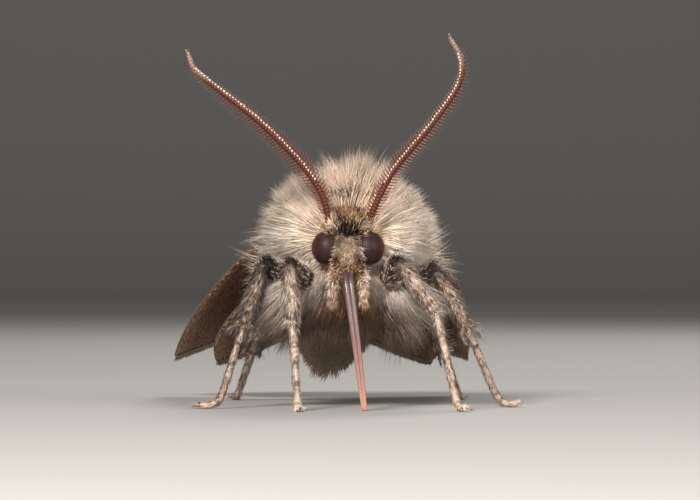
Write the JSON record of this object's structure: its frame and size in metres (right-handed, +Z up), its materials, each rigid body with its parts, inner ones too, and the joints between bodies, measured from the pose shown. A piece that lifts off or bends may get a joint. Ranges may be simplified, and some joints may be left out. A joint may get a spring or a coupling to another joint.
{
  "type": "moth",
  "caption": "Life-size hairy owlet moth standing with its forebody raised, feelers up, tongue down and wings drawn back.",
  "frame": {"origin": "on the floor, under the middle of the whole moth's box", "axes": "+X to the moth's left, -Y the way it faces, +Z up"},
  "size_m": [0.0146, 0.0198, 0.0149],
  "materials": {
    "coat": "soft hair, pale beige tips over grey-brown",
    "eye": "dark purplish brown, softly glossy, finely faceted",
    "feeler": "red-brown, with pale scale dots",
    "tongue": "grey-brown horn, softly glossy",
    "leg": "pinkish tan scales, speckled dark",
    "wing": "brown scales with paler veins"
  },
  "bodies": {
    "root": {"abdomen": "coat", "antenna_left": "feeler", "antenna_right": "feeler", "collar": "coat", "eye_left": "eye", "eye_right": "eye", "foreleg_left_femur": "leg", "foreleg_left_tarsus": "leg", "foreleg_left_tibia": "leg", "foreleg_right_femur": "leg", "foreleg_right_tarsus": "leg", "foreleg_right_tibia": "leg", "forewing_left": "wing", "forewing_right": "wing", "head": "coat", "hindleg_left_femur": "leg", "hindleg_left_tarsus": "leg", "hindleg_left_tibia": "leg", "hindleg_right_femur": "leg", "hindleg_right_tarsus": "leg", "hindleg_right_tibia": "leg", "hindwing_left": "wing", "hindwing_right": "wing", "labial_palp_left": "coat", "labial_palp_right": "coat", "midleg_left_femur": "leg", "midleg_left_tarsus": "leg", "midleg_left_tibia": "leg", "midleg_right_femur": "leg", "midleg_right_tarsus": "leg", "midleg_right_tibia": "leg", "proboscis": "tongue", "thorax": "coat"}
  },
  "joints": []
}
